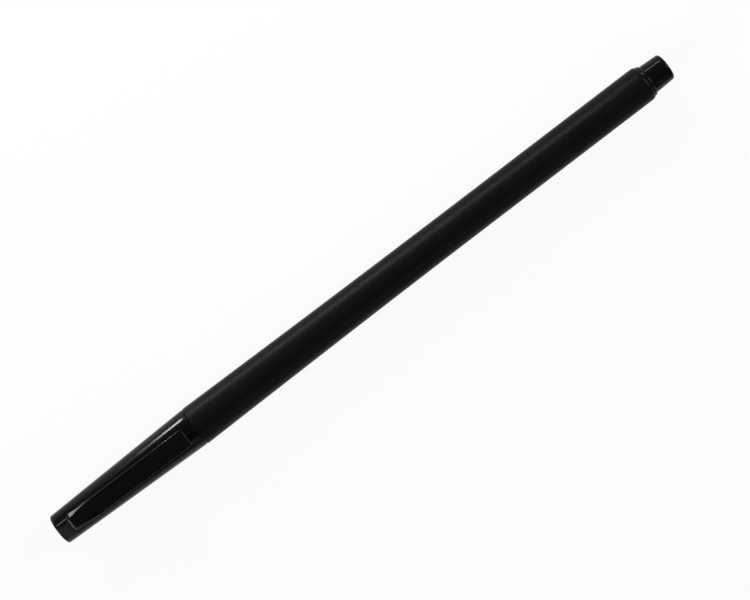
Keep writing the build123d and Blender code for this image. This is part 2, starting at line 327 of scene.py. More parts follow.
class PenFinish(bpy.types.PropertyGroup):
    """Colours of the pen's finishes."""

    soft_touch: FloatVectorProperty(
        name="Soft-touch lacquer", description="Colour of the barrel's matt lacquer",
        default=(0.0045, 0.0045, 0.0047), min=0, max=1, size=3, subtype="COLOR")
    gloss: FloatVectorProperty(
        name="Polished moulding", description="Colour of the cap, its clip and the tail plug",
        default=(0.0036, 0.0036, 0.0037), min=0, max=1, size=3, subtype="COLOR")
    satin: FloatVectorProperty(
        name="Satin moulding", description="Colour of the nose under the cap",
        default=(0.005, 0.005, 0.0052), min=0, max=1, size=3, subtype="COLOR")
    dust: FloatVectorProperty(
        name="Dust", description="Colour of the specks of dust on the black mouldings",
        default=(0.05, 0.05, 0.048), min=0, max=1, size=3, subtype="COLOR")
    steel: FloatVectorProperty(
        name="Drawn steel", description="Colour of the metal sleeve",
        default=(0.62, 0.61, 0.59), min=0, max=1, size=3, subtype="COLOR")
    point: FloatVectorProperty(
        name="Writing point", description="Colour of the plastic point before ink stains it",
        default=(0.16, 0.16, 0.17), min=0, max=1, size=3, subtype="COLOR")
    ink: FloatVectorProperty(
        name="Ink", description="Colour of the ink in the fibres",
        default=(0.006, 0.006, 0.009), min=0, max=1, size=3, subtype="COLOR")
    film: FloatVectorProperty(
        name="Wrapping film", description="Colour of the film round the ink store",
        default=(0.55, 0.56, 0.58), min=0, max=1, size=3, subtype="COLOR")
    seal: FloatVectorProperty(
        name="Sealing cup", description="Colour of the natural polyethylene inner cap",
        default=(0.72, 0.72, 0.69), min=0, max=1, size=3, subtype="COLOR")


class PenStage(bpy.types.PropertyGroup):
    """Floor, lamps and camera of the photo stage."""

    floor: FloatVectorProperty(
        name="Floor", description="Colour of the floor",
        default=(0.86, 0.86, 0.86), min=0, max=1, size=3, subtype="COLOR")
    floor_white_share: FloatProperty(
        name="Floor whiteness", description="Share of plain white that the floor shows as a background",
        default=0.9, min=0, max=1, subtype="FACTOR")
    sky: FloatVectorProperty(
        name="Surrounding light", description="Colour of the faint light from all round",
        default=(0.9, 0.95, 1.0), min=0, max=1, size=3, subtype="COLOR")
    sky_strength: FloatProperty(
        name="Surrounding strength", description="Strength of the faint light from all round",
        default=0.03, min=0, max=1, subtype="FACTOR")
    barrel_power: FloatProperty(
        name="Barrel softbox", description="Power of the long softbox beside the barrel",
        default=0.47, min=0, max=50, unit="POWER")
    mouth_power: FloatProperty(
        name="Mouth softbox", description="Power of the small softbox beside the cap's mouth",
        default=0.125, min=0, max=50, unit="POWER")
    cap_power: FloatProperty(
        name="Cap softbox", description="Power of the narrow softbox along the cap",
        default=0.0035, min=0, max=50, unit="POWER")
    crown_power: FloatProperty(
        name="Crown softbox", description="Power of the small softbox over the crown",
        default=0.045, min=0, max=50, unit="POWER")
    tail_power: FloatProperty(
        name="Tail softbox", description="Power of the small softbox beside the tail plug",
        default=0.042, min=0, max=50, unit="POWER")
    root_power: FloatProperty(
        name="Root softbox", description="Power of the softbox that lights the clip's root",
        default=0.1, min=0, max=50, unit="POWER")
    fill_power: FloatProperty(
        name="Fill softbox", description="Power of the wide softbox across the pen",
        default=0.5, min=0, max=50, unit="POWER")
    end_power: FloatProperty(
        name="End softboxes", description="Power of each large softbox beyond the pen's ends",
        default=7.0, min=0, max=200, unit="POWER")
    lens: FloatProperty(
        name="Lens", description="Focal length of the camera",
        default=105.2, min=20, max=200, unit="CAMERA")
    distance: FloatProperty(
        name="Distance", description="Distance of the camera from the point that it looks at",
        default=0.459, min=0.1, max=2, unit="LENGTH")
    tilt: FloatProperty(
        name="Tilt", description="Lean of the camera from straight above, across the pen",
        default=math.radians(7), min=0, max=math.radians(45), subtype="ANGLE")
    slope: FloatProperty(
        name="Slope", description="Angle at which the pen climbs across the picture",
        default=math.radians(37.4177), min=0, max=math.radians(90), subtype="ANGLE")
    aim_along: FloatProperty(
        name="Aim along", description="Place along the pen that the camera looks at",
        default=0.00176, min=-0.05, max=0.05, unit="LENGTH")
    aim_across: FloatProperty(
        name="Aim across", description="Distance beside the pen's axis that the camera looks at",
        default=-0.001885, min=-0.05, max=0.05, unit="LENGTH")


# Outlines of turned pieces, as (along, radius) stations


def mix(first, second, share):
    """Value at a share of the way from one value to another."""
    return first + (second - first) * share


def curve(points, steps):
    """Stations along a smooth curve from the first point to the last that leans to those between."""
    stations = []
    for index in range(steps + 1):
        share = index / steps
        places = points
        while len(places) > 1:
            places = [
                tuple(mix(a, b, share) for a, b in zip(near, far)) for near, far in zip(places, places[1:])]
        stations.append(places[0])
    return stations


def soft_corner(start, corner, end, steps):
    """Stations of a round corner between two points of an outline, its own ends included."""
    handle_share = 0.55
    near = tuple(mix(a, b, handle_share) for a, b in zip(start, corner))
    far = tuple(mix(a, b, handle_share) for a, b in zip(end, corner))
    return curve([start, near, far, end], steps)


def run(start, end, steps):
    """Stations evenly spaced along a straight side, without its start."""
    return curve([start, end], steps)[1:]


def ring(middle_x, *steps):
    """Stations over a raised ring, from (half width, radius) steps between its foot and its top."""
    front = [(middle_x - half, radius) for half, radius in steps]
    rear = [(middle_x + half, radius) for half, radius in reversed(steps)]
    return front + rear


def cap_radius(shape, along):
    """Radius of the cap's outside at a station."""
    share = (along - CROWN_X) / (MOUTH_X - CROWN_X)
    return mix(shape.crown_diameter / 2, BARREL_R - MOUTH_INSET, share)


def spigot_radius(shape):
    """Radius of what is pressed into the barrel's bore."""
    return shape.barrel_bore / 2 - PRESS


# Tools that work on one mesh. Each leaves Blender in object mode, apart from select_where and edit_piece


def clear_selection():
    """Object mode with nothing selected."""
    if bpy.context.object and bpy.context.object.mode != "OBJECT":
        bpy.ops.object.mode_set(mode="OBJECT")
    bpy.ops.object.select_all(action="DESELECT")


def make_active(piece):
    """Selects one piece alone in object mode."""
    clear_selection()
    piece.select_set(True)
    bpy.context.view_layer.objects.active = piece


def edit_piece(piece):
    """Opens one piece in edit mode, with its place, turn and scale in its mesh."""
    make_active(piece)
    bpy.ops.object.transform_apply(location=True, rotation=True, scale=True)
    bpy.ops.object.mode_set(mode="EDIT")


def close_piece():
    """Turns the faces of the open piece outwards and goes back to object mode."""
    bpy.ops.mesh.select_all(action="SELECT")
    bpy.ops.mesh.normals_make_consistent(inside=False)
    bpy.ops.object.mode_set(mode="OBJECT")


def select_where(piece, kind, test):
    """Selects the vertices, edges or faces of an open piece that pass a test, and says how many."""
    kinds = ("VERT", "EDGE", "FACE")
    bpy.context.tool_settings.mesh_select_mode = [kind == each for each in kinds]
    bpy.ops.mesh.select_all(action="DESELECT")
    mesh = bmesh.from_edit_mesh(piece.data)
    items = (mesh.verts, mesh.edges, mesh.faces)[kinds.index(kind)]
    chosen = [item for item in items if test(item)]
    for item in chosen:
        item.select_set(True)
    mesh.select_flush_mode()
    bmesh.update_edit_mesh(piece.data)
    return len(chosen)


def radius_of(point):
    """Distance of a point from the pen's axis."""
    return math.hypot(point.y, point.z - AXIS_Z)


def turn_piece(name, stations, sides=SIDES, closed=False):
    """Turned piece: a circle drawn out ring by ring through (along, radius) stations.

    A closed outline ends where it starts. Otherwise its first and last rings are filled."""
    clear_selection()
    along, radius = stations[0]
    bpy.ops.mesh.primitive_circle_add(
        vertices=sides, radius=radius, location=(along, 0, AXIS_Z), rotation=(0, math.pi / 2, 0))
    piece = bpy.context.object
    piece.name = name
    piece.data.name = name
    edit_piece(piece)
    bpy.context.tool_settings.mesh_select_mode = (False, True, False)
    bpy.ops.mesh.select_all(action="SELECT")
    for next_along, next_radius in stations[1:]:
        bpy.ops.mesh.extrude_region_move(TRANSFORM_OT_translate={"value": (next_along - along, 0, 0)})
        growth = next_radius / radius
        bpy.ops.transform.resize(value=(1, growth, growth), center_override=(next_along, 0, AXIS_Z))
        along, radius = next_along, next_radius
    bpy.ops.mesh.select_all(action="SELECT")
    bpy.ops.mesh.remove_doubles(threshold=MERGE_DISTANCE)
    if not closed:
        bpy.ops.mesh.fill_holes(sides=0)
    close_piece()
    return piece


def raise_ribs(piece, wall_radius, rib_radius, start_x, end_x, sides):
    """Draws ribs, some sides wide, inwards from an inner wall to a smaller radius, evenly round the axis."""
    pitch = 2 * math.pi / RIBS
    half = sides * math.pi / SIDES

    def on_rib(face):
        middle = face.calc_center_median()
        turn = math.atan2(middle.y, middle.z - AXIS_Z) % pitch
        on_wall = abs(radius_of(middle) - wall_radius) < ON_WALL and abs(face.normal.x) < WALL_LEAN
        return on_wall and start_x < middle.x < end_x and min(turn, pitch - turn) < half

    edit_piece(piece)
    if not select_where(piece, "FACE", on_rib):
        raise RuntimeError(f"{piece.name}: no wall to raise ribs on")
    bpy.ops.mesh.extrude_region_move(TRANSFORM_OT_translate={"value": (0, 0, 0)})
    growth = rib_radius / wall_radius
    bpy.ops.transform.resize(value=(1, growth, growth), center_override=(start_x, 0, AXIS_Z))
    bpy.ops.object.mode_set(mode="OBJECT")


def combine(piece, other, operation):
    """Merges another closed solid into a piece as one moulding, or cuts it out of the piece."""
    make_active(piece)
    change = piece.modifiers.new("combine", "BOOLEAN")
    change.operation = operation
    change.solver = "EXACT"
    change.object = other
    bpy.ops.object.modifier_apply(modifier=change.name)
    spare = other.data
    bpy.data.objects.remove(other)
    bpy.data.meshes.remove(spare)


def near_stations(stations, reach):
    """Test of how near a point is to some rings of a turned piece, 1 on a ring and 0 out of reach."""
    def nearness(point):
        radius = radius_of(point)
        return max(1 - math.hypot(point.x - x, radius - r) / reach for x, r in stations)
    return nearness


def mark_edges(piece, nearness):
    """Keeps on each vertex how near it is to a handled edge, from 0 to 1."""
    marks = piece.data.attributes.new("edge", "FLOAT", "POINT")
    marks.data.foreach_set(
        "value", [max(0.0, min(1.0, nearness(vertex.co))) for vertex in piece.data.vertices])


def finish_piece(piece, material, body, node):
    """Smooths, paints and hangs a finished piece on its body in place of the frame's node."""
    make_active(piece)
    bpy.ops.object.shade_smooth_by_angle(angle=SMOOTH_ANGLE)
    piece.data.materials.clear()
    piece.data.materials.append(material)
    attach(piece, body)
    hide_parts(node)


# Shader nodes


def feed(tree, value, socket):
    """Joins an input to another node's output, or sets it to a plain value."""
    if isinstance(value, bpy.types.NodeSocket):
        tree.links.new(value, socket)
    else:
        socket.default_value = value


def add(tree, kind, inputs=None, **settings):
    """New node with its settings and, by name or number, what its inputs get."""
    made = tree.nodes.new(kind)
    for key, value in settings.items():
        setattr(made, key, value)
    for socket, value in (inputs or {}).items():
        feed(tree, value, made.inputs[socket])
    return made


def arithmetic(tree, operation, first, second, **settings):
    """Result of a sum, a product, a quotient or a test of two values."""
    return add(tree, "ShaderNodeMath", {0: first, 1: second}, operation=operation, **settings).outputs[0]


def noise(tree, place, detail, roughness=0.5, distortion=0.0):
    """Value of a noise with features about one unit across."""
    inputs = {"Vector": place, "Scale": 1.0, "Detail": detail}
    inputs.update({"Roughness": roughness, "Distortion": distortion})
    return add(tree, "ShaderNodeTexNoise", inputs).outputs["Fac"]


def ramp(tree, value, limits, kind="SMOOTHSTEP", results=(0.0, 1.0)):
    """Value that goes from the first result to the second while another goes from limit to limit."""
    inputs = {"Value": value}
    inputs["From Min"], inputs["From Max"] = limits
    inputs["To Min"], inputs["To Max"] = results
    return add(tree, "ShaderNodeMapRange", inputs, interpolation_type=kind).outputs["Result"]


def shared_effect(name, inputs, outputs, build):
    """Node group at a place on the surface, with its values and masks, built once and then shared."""
    if name in bpy.data.node_groups:
        return bpy.data.node_groups[name]
    tree = bpy.data.node_groups.new(name, "ShaderNodeTree")
    tree.interface.new_socket("Place", in_out="INPUT", socket_type="NodeSocketVector")
    for socket, default in inputs.items():
        made = tree.interface.new_socket(socket, in_out="INPUT", socket_type="NodeSocketFloat")
        made.default_value = default
    for socket in outputs:
        tree.interface.new_socket(socket, in_out="OUTPUT", socket_type="NodeSocketFloat")
    given = add(tree, "NodeGroupInput").outputs
    add(tree, "NodeGroupOutput", dict(zip(outputs, build(tree, given))))
    return tree


def scaled_place(tree, given, size):
    """Coordinates in units of a feature's size, which is given in millimetres."""
    per_metre = arithmetic(tree, "DIVIDE", MILLIMETRES_IN_METRE, given[size])
    return add(
        tree, "ShaderNodeVectorMath", {0: given["Place"], "Scale": per_metre}, operation="SCALE").outputs[0]


def surface_grain():
    """Effect: fine grain of a moulded or lacquered surface, and the slow clouding of its finish."""
    def build(tree, given):
        height = noise(tree, scaled_place(tree, given, "Grain size"), 3.0, 0.6)
        cloud = noise(tree, scaled_place(tree, given, "Cloud size"), 4.0, 0.55)
        return height, cloud

    return shared_effect("surface grain", {"Grain size": 0.2, "Cloud size": 6.0}, ("Height", "Cloud"), build)


def handling_marks():
    """Effect: soft smears that hands leave on a surface."""
    def build(tree, given):
        smear = noise(tree, scaled_place(tree, given, "Smear size"), 5.0, 0.65, 1.2)
        return [ramp(tree, smear, (0.48, 0.72))]

    return shared_effect("handling marks", {"Smear size": 9.0}, ("Mask",), build)


def edge_rub():
    """Effect: broken rubbing along the edges that a piece carries in its edge attribute."""
    def build(tree, given):
        breaks = noise(tree, scaled_place(tree, given, "Break size"), 4.0, 0.7)
        return [ramp(tree, arithmetic(tree, "MULTIPLY", breaks, given["Edge"]), (0.28, 0.6))]

    return shared_effect("edge rub", {"Edge": 0.0, "Break size": 0.5}, ("Mask",), build)


def settled_dust():
    """Effect: sparse specks of dust."""
    def build(tree, given):
        inputs = {"Vector": scaled_place(tree, given, "Spacing"), "Scale": 1.0}
        specks = add(tree, "ShaderNodeTexVoronoi", inputs).outputs
        red = add(tree, "ShaderNodeSeparateColor", {"Color": specks["Color"]}).outputs["Red"]
        few = arithmetic(tree, "GREATER_THAN", red, 0.72)
        return [arithmetic(tree, "MULTIPLY", ramp(tree, specks["Distance"], (0.07, 0.02)), few)]

    return shared_effect("settled dust", {"Spacing": 1.6}, ("Mask",), build)


# Materials


def lighter(colour, by):
    """A colour with the same amount added to each channel."""
    return tuple(channel + by for channel in colour)


class Paint:
    """A material under construction: its node tree, its shader and the place on the piece."""

    def __init__(self, name):
        self.material = bpy.data.materials.new(name)
        self.material.use_nodes = True
        self.tree = self.material.node_tree
        self.shader = next(node for node in self.tree.nodes if node.type == "BSDF_PRINCIPLED")
        self.place = add(self.tree, "ShaderNodeTexCoord").outputs["Object"]

    def effect(self, group, **values):
        """Outputs of an effect at the place on the piece, with its values."""
        made = add(self.tree, "ShaderNodeGroup", node_tree=group)
        feed(self.tree, self.place, made.inputs["Place"])
        for key, value in values.items():
            feed(self.tree, value, made.inputs[key.replace("_", " ").capitalize()])
        return made.outputs

    def along(self, axis):
        """Place on the piece along one axis."""
        return add(self.tree, "ShaderNodeSeparateXYZ", {"Vector": self.place}).outputs[axis]

    def streaks(self, along, across, detail, roughness=0.5):
        """Noise drawn out along or across the pen, with so many features to the metre each way."""
        scale = (along, across, across)
        stretched = add(self.tree, "ShaderNodeMapping", {"Vector": self.place, "Scale": scale})
        return noise(self.tree, stretched.outputs["Vector"], detail, roughness)

    def spread(self, mask, low, high):
        """Value that runs from low to high with a mask."""
        return ramp(self.tree, mask, (0.0, 1.0), "LINEAR", (low, high))

    def sum(self, first, second):
        """Sum of two values."""
        return arithmetic(self.tree, "ADD", first, second)

    def product(self, first, second):
        """Product of two masks."""
        return arithmetic(self.tree, "MULTIPLY", first, second)

    def blend(self, mask, first, second):
        """Colour between two colours by a mask."""
        made = add(self.tree, "ShaderNodeMix", {"Factor": mask}, data_type="RGBA")
        for colour, socket in ((first, made.inputs[6]), (second, made.inputs[7])):
            plain = not isinstance(colour, bpy.types.NodeSocket)
            feed(self.tree, (*colour, 1) if plain else colour, socket)
        return made.outputs[2]

    def crown_scuffs_and_sheen(self):
        """Mask of the scuffs and their painted sheen on top of the cap's end, before the clip and away from
        the lit side.
        """
        mask = self.spread(self.effect(surface_grain(), cloud_size=1.6)["Cloud"], 0.35, 1.25)
        for axis, limits in SCUFF_AND_SHEEN_LIMITS.items():
            mask = self.product(mask, ramp(self.tree, self.along(axis), limits))
        return mask

    def coat(self, colour, roughness, height, relief, **values):
        """Gives the shader its colour, roughness, relief and plain values, and returns the material."""
        bump = add(self.tree, "ShaderNodeBump", {"Height": height, "Distance": relief})
        inputs = {"Base Color": colour, "Roughness": roughness, "Normal": bump.outputs["Normal"]}
        inputs.update({key.replace("_", " "): value for key, value in values.items()})
        for socket, value in inputs.items():
            feed(self.tree, value, self.shader.inputs[socket])
        return self.material


def moulded_black(name, colour, rough_limits, grain, relief, specular, scuffed_with_sheen=False):
    """Black plastic with grain, smears of handling, rubbed edges, dust and, if asked, a scuffed crown with a
    painted sheen.
    """
    paint = Paint(name)
    texture = paint.effect(surface_grain(), grain_size=grain)
    smears = paint.effect(handling_marks())["Mask"]
    edge = add(paint.tree, "ShaderNodeAttribute", attribute_name="edge").outputs["Fac"]
    rub = paint.effect(edge_rub(), edge=edge)["Mask"]
    dust = paint.effect(settled_dust())["Mask"]
    shade = paint.blend(texture["Cloud"], lighter(colour, -0.0005), lighter(colour, 0.0008))
    shade = paint.blend(paint.spread(rub, 0.0, 0.5), shade, lighter(colour, 0.004))
    shade = paint.blend(paint.spread(dust, 0.0, 0.35), shade, bpy.context.scene.pen_finish.dust)
    low, high = rough_limits
    smear_share = 0.6
    smeared = paint.spread(smears, 0.0, (high - low) * smear_share)
    roughness = paint.sum(paint.spread(texture["Cloud"], low, high), smeared)
    if scuffed_with_sheen:
        # Crown scuffs: rougher, and a painted sheen that lightens the colour on top of the crown
        scuffs_and_sheen = paint.crown_scuffs_and_sheen()
        shade = paint.blend(scuffs_and_sheen, shade, lighter(colour, 0.02))
        roughness = paint.sum(roughness, paint.spread(scuffs_and_sheen, 0.0, 0.2))
    return paint.coat(shade, roughness, texture["Height"], relief, IOR=1.5, Specular_IOR_Level=specular)


def soft_touch_black():
    """Fine-grained matt lacquer of the barrel."""
    colour = bpy.context.scene.pen_finish.soft_touch
    return moulded_black("soft-touch lacquer", colour, (0.33, 0.4), grain=0.22, relief=3e-6, specular=0.05)


def gloss_black(name, scuffed_with_sheen=False):
    """Polished black of the cap and the tail plug, with, if asked, the crown's scuffs and their painted
    sheen.
    """
    colour = bpy.context.scene.pen_finish.gloss
    return moulded_black(name, colour, (0.1, 0.16), grain=2.0, relief=5e-8, specular=0.1, scuffed_with_sheen=scuffed_with_sheen)


def satin_black():
    """Satin black of the nose."""
    colour = bpy.context.scene.pen_finish.satin
    return moulded_black("satin black", colour, (0.3, 0.42), grain=0.3, relief=3e-6, specular=0.2)


def drawn_steel(colour):
    """Stainless tube with fine turning marks round it."""
    paint = Paint("drawn steel")
    marks = paint.streaks(along=24000.0, across=500.0, detail=2.0)
    smears = paint.effect(handling_marks(), smear_size=1.2)["Mask"]
    shade = paint.blend(marks, lighter(colour, -0.12), lighter(colour, 0.08))
    roughness = paint.sum(paint.spread(marks, 0.16, 0.3), paint.spread(smears, 0.0, 0.12))
    return paint.coat(shade, roughness, marks, 2e-6, Metallic=1.0)


def stained_point(colour, ink):
    """Plastic point that ink has stained from its tip."""
    paint = Paint("stained point")
    texture = paint.effect(surface_grain(), grain_size=0.08, cloud_size=0.5)
    reach = ramp(paint.tree, paint.along("X"), STAIN_LIMITS, "LINEAR")
    stain = paint.product(reach, paint.spread(texture["Cloud"], 0.3, 0.9))
    roughness = paint.spread(texture["Height"], 0.35, 0.6)
    return paint.coat(paint.blend(stain, colour, ink), roughness, texture["Height"], 2e-6)


def ink_fibre(ink):
    """Bundled fibres, wet with ink, that run along the pen."""
    paint = Paint("inked fibre")
    strands = paint.streaks(along=160.0, across=9000.0, detail=4.0, roughness=0.7)
    wet = paint.effect(handling_marks(), smear_size=5.0)["Mask"]
    shade = paint.blend(strands, ink, lighter(ink, 0.03))
    roughness = paint.sum(paint.spread(strands, 0.55, 0.9), paint.spread(wet, 0.0, -0.25))
    return paint.coat(shade, roughness, strands, 2e-5)


def wrapping_film(colour):
    """Thin translucent film with a little haze."""
    paint = Paint("wrapping film")
    texture = paint.effect(surface_grain(), grain_size=0.6, cloud_size=4.0)
    shade = paint.blend(texture["Cloud"], lighter(colour, -0.06), lighter(colour, 0.06))
    roughness = paint.spread(texture["Cloud"], 0.18, 0.34)
    return paint.coat(shade, roughness, texture["Height"], 4e-6, Transmission_Weight=0.75, IOR=1.45)


def sealing_plastic(colour):
    """Natural polyethylene, waxy and faintly clouded."""
    paint = Paint("natural polyethylene")
    texture = paint.effect(surface_grain(), grain_size=0.15, cloud_size=2.5)
    shade = paint.blend(texture["Cloud"], lighter(colour, -0.05), lighter(colour, 0.04))
    roughness = paint.spread(texture["Cloud"], 0.34, 0.5)
    return paint.coat(
        shade, roughness, texture["Height"], 3e-6, Subsurface_Weight=0.15, Subsurface_Scale=0.0006)


# Pieces


class PEN_OT_barrel(bpy.types.Operator):
    """Flared barrel with inner ribs and a soft-touch lacquer"""

    bl_idname = "pen.make_barrel"
    bl_label = "Barrel"

    def execute(self, context):
        shape = context.scene.pen_shape
        rear_r = shape.barrel_rear / 2
        bore_r = shape.barrel_bore / 2
        recess_r = bore_r + FLANGE_HEIGHT + PRESS
        lip_x = FRONT_X + shape.front_lip
        recess_x = FRONT_X + FLANGE_THICKNESS
        bend_x = FRONT_X + shape.flare_length * shape.flare_bend_share
        flare_x = FRONT_X + shape.flare_length
        round_x = REAR_X - REAR_ROUND
        ribs_x = SPIGOT_X + RIB_INSET
        ribs_end_x = PLUG_X - RIB_INSET
        front = soft_corner(
            (FRONT_X, BARREL_R - shape.front_lip), (FRONT_X, BARREL_R), (lip_x, BARREL_R), 5)
        flare = curve([(lip_x, BARREL_R), (bend_x, rear_r), (flare_x, rear_r)], 48)
        plain = run((flare_x, rear_r), (round_x, rear_r), 16)
        shoulder = soft_corner(
            (round_x, rear_r), (REAR_X - REAR_CORNER_BACK, rear_r - REAR_CORNER_DROP),
            (REAR_X, rear_r - REAR_DROP), 8)
        groove = ring(
            PLUG_X + BEAD_INSET, (BEAD_FOOT - PRESS, bore_r), (BEAD_TOP + PRESS, bore_r + BEAD_HEIGHT))
        outside = [*front, *flare[1:], *plain, *shoulder[1:]]
        inside = [
            (REAR_X, bore_r), *reversed(groove), (ribs_end_x, bore_r), (ribs_x, bore_r),
            (recess_x, bore_r), (recess_x, recess_r), (FRONT_X, recess_r)]
        barrel = turn_piece("soft_touch_barrel", [inside[-1], *outside, *inside], closed=True)
        raise_ribs(barrel, bore_r, bore_r - RIB_HEIGHT, ribs_x, ribs_end_x, BARREL_RIB_SIDES)
        mark_edges(barrel, near_stations([front[2], shoulder[4]], BARREL_RUB))
        finish_piece(barrel, soft_touch_black(), "pen_body", "barrel")
        return {"FINISHED"}


class PEN_OT_cap(bpy.types.Operator):
    """Cap with its pocket clip, crown vent and inner ribs, one polished moulding"""

    bl_idname = "pen.make_cap"
    bl_label = "Cap and clip"

    def clip_sections(self, shape):
        """Cross-sections of the clip, from its rounded root over its ramp and tongue to its rounded tip.

        Each is a station, the height of its top, its depth, width, edge radius and edge roundness."""
        root_x = CROWN_X + shape.clip_root
        bridge_x = root_x + shape.clip_bridge
        ramp_x = root_x + shape.clip_ramp
        tip_x = MOUTH_X - shape.clip_tip
        root_top = AXIS_Z + cap_radius(shape, root_x) + shape.clip_root_height
        ramp_top = AXIS_Z + cap_radius(shape, ramp_x) + shape.clip_ramp_height
        tip_top = AXIS_Z + cap_radius(shape, tip_x) + shape.clip_tip_height
        foot = AXIS_Z + shape.crown_diameter / 2 - CAP_WALL
        round_steps = 8
        sections = []

        def section(along, drop=0.0, narrowing=0.0):
            on_ramp = min(1.0, (along - root_x) / shape.clip_ramp)
            on_tongue = max(0.0, (along - ramp_x) / (tip_x - ramp_x))
            top = mix(mix(root_top, ramp_top, on_ramp), tip_top, on_tongue)
            edge = mix(mix(shape.clip_root_edge, shape.clip_edge, on_ramp), shape.clip_tip_edge, on_tongue)
            depth = shape.clip_thickness if along > bridge_x else top - foot
            roundness = mix(shape.clip_root_profile, ROUND_PROFILE, on_ramp ** 3)
            sections.append(
                (along, top - drop, depth - drop, shape.clip_width - 2 * narrowing, edge, roundness))

        for index in range(round_steps):
            angle = math.pi / 2 * index / round_steps
            lean = 1 - math.sin(angle)
            section(
                root_x + (1 - math.cos(angle)) * shape.clip_root_round,
                CLIP_ROOT_DROP * lean, shape.clip_root_round / 2 * lean)
        for share in RAMP_SHARES:
            section(root_x + share * shape.clip_ramp)
        for along in (bridge_x, bridge_x + BRIDGE_STEP, ramp_x - RAMP_BLEND, ramp_x, ramp_x + RAMP_BLEND):
            section(along)
        for share in TONGUE_SHARES:
            section(mix(ramp_x, tip_x, share))
        for index in range(round_steps + 1):
            angle = math.pi / 2 * index / round_steps
            lean = 1 - math.cos(angle)
            section(
                tip_x - (1 - math.sin(angle)) * shape.clip_tip_round,
                CLIP_TIP_DROP * lean, shape.clip_tip_round * lean)
        return sections

    def clip_loop(self, clip, along, top, depth, width, edge, roundness):
        """One cross-section of the clip: a plane whose two upper corners are rounded or cut off flat."""
        middle = Vector((along, 0, top - depth / 2))
        bpy.ops.mesh.select_all(action="DESELECT")
        bpy.ops.mesh.primitive_plane_add(size=1, location=middle, rotation=(0, math.pi / 2, 0))
        bpy.ops.transform.resize(value=(1, width, depth), center_override=middle)

        def upper(vertex):
            return abs(vertex.co.x - along) < SAME_PLACE and abs(vertex.co.z - top) < SAME_PLACE

        count = select_where(clip, "VERT", upper)
        if count != 2:
            raise RuntimeError(f"the clip's section at {along} has {count} upper corners")
        bpy.ops.mesh.bevel(offset=edge, segments=8, affect="VERTICES", profile=roundness)

    def tongue(self, shape, sections):
        """Tongue and bridge of the clip, drawn through its cross-sections."""
        clear_selection()
        bpy.ops.mesh.primitive_plane_add(size=shape.clip_width, location=(0, 0, AXIS_Z))
        clip = bpy.context.object
        edit_piece(clip)
        bpy.ops.mesh.select_all(action="SELECT")
        bpy.ops.mesh.delete(type="VERT")
        for section in sections:
            self.clip_loop(clip, *section)
        bpy.context.tool_settings.mesh_select_mode = (False, True, False)
        bpy.ops.mesh.select_all(action="SELECT")
        bpy.ops.mesh.delete(type="ONLY_FACE")
        for pair in zip(sections, sections[1:]):
            stations = [section[0] for section in pair]

            def in_pair(edge):
                first, second = (vertex.co.x for vertex in edge.verts)
                near = min(abs(first - along) for along in stations)
                return near < SAME_PLACE and abs(first - second) < SAME_PLACE

            select_where(clip, "EDGE", in_pair)
            bpy.ops.mesh.bridge_edge_loops()
        bpy.ops.mesh.select_all(action="SELECT")
        bpy.ops.mesh.fill_holes(sides=0)
        close_piece()
        return clip

    def nub(self, shape, nub_x):
        """Rounded bar across the underside of the clip's tip, just clear of the cap."""
        nub_z = AXIS_Z + cap_radius(shape, nub_x) + NUB_GAP + NUB_R
        clear_selection()
        bpy.ops.mesh.primitive_cylinder_add(
            vertices=NUB_SIDES, radius=NUB_R, depth=shape.clip_width - 2 * NUB_INSET,
            location=(nub_x, 0, nub_z), rotation=(math.pi / 2, 0, 0))
        nub = bpy.context.object
        edit_piece(nub)
        select_where(nub, "EDGE", lambda edge: any(len(face.verts) > 4 for face in edge.link_faces))
        bpy.ops.mesh.bevel(offset=NUB_EDGE, segments=4, affect="EDGES", profile=ROUND_PROFILE)
        bpy.ops.object.mode_set(mode="OBJECT")
        return nub

    def execute(self, context):
        shape = context.scene.pen_shape
        edge, mouth_edge = shape.crown_edge, shape.mouth_edge
        crown_r = shape.crown_diameter / 2
        mouth_r = cap_radius(shape, MOUTH_X)
        bore_r = SEAT_R + SLIDE
        ceiling_x = CROWN_X + CROWN_WALL
        hollow_r = cap_radius(shape, ceiling_x) - CAP_WALL
        rib_r = INNER_CAP_R + PRESS
        cup_x = INNER_CAP_X - END_GAP
        ribs_x = LAND_X - CUP_OVERLAP
        seat_x = FRONT_X - SEAT_LENGTH - SEAT_RESERVE
        side_x = CROWN_X + edge
        side_end_x = MOUTH_X - mouth_edge
        vent = soft_corner(
            (CROWN_X + VENT_EDGE, VENT_R), (CROWN_X, VENT_R), (CROWN_X, VENT_R + VENT_EDGE), 4)
        crown = soft_corner(
            (CROWN_X, crown_r - edge), (CROWN_X, crown_r), (side_x, cap_radius(shape, side_x)), 9)
        side = run(crown[-1], (side_end_x, cap_radius(shape, side_end_x)), 40)
        mouth = soft_corner(side[-1], (MOUTH_X, mouth_r), (MOUTH_X, mouth_r - mouth_edge), 5)
        inside = [
            (MOUTH_X, bore_r + BORE_EDGE), (MOUTH_X - BORE_EDGE, bore_r), (seat_x, bore_r),
            (seat_x, hollow_r), (ribs_x, hollow_r), (cup_x, hollow_r), (ceiling_x, hollow_r),
            (ceiling_x, VENT_R), vent[0]]
        cap = turn_piece("glossy_cap", [*vent, *crown, *side, *mouth[1:], *inside], closed=True)
        raise_ribs(cap, hollow_r, rib_r, ceiling_x, ribs_x, CAP_RIB_SIDES)
        raise_ribs(cap, rib_r, rib_r - CAP_RIB_STEP, ceiling_x, cup_x, CAP_RIB_SIDES)
        sections = self.clip_sections(shape)
        clip = self.tongue(shape, sections)
        combine(clip, self.nub(shape, sections[-1][0] - NUB_FROM_TIP), "UNION")
        combine(cap, clip, "UNION")
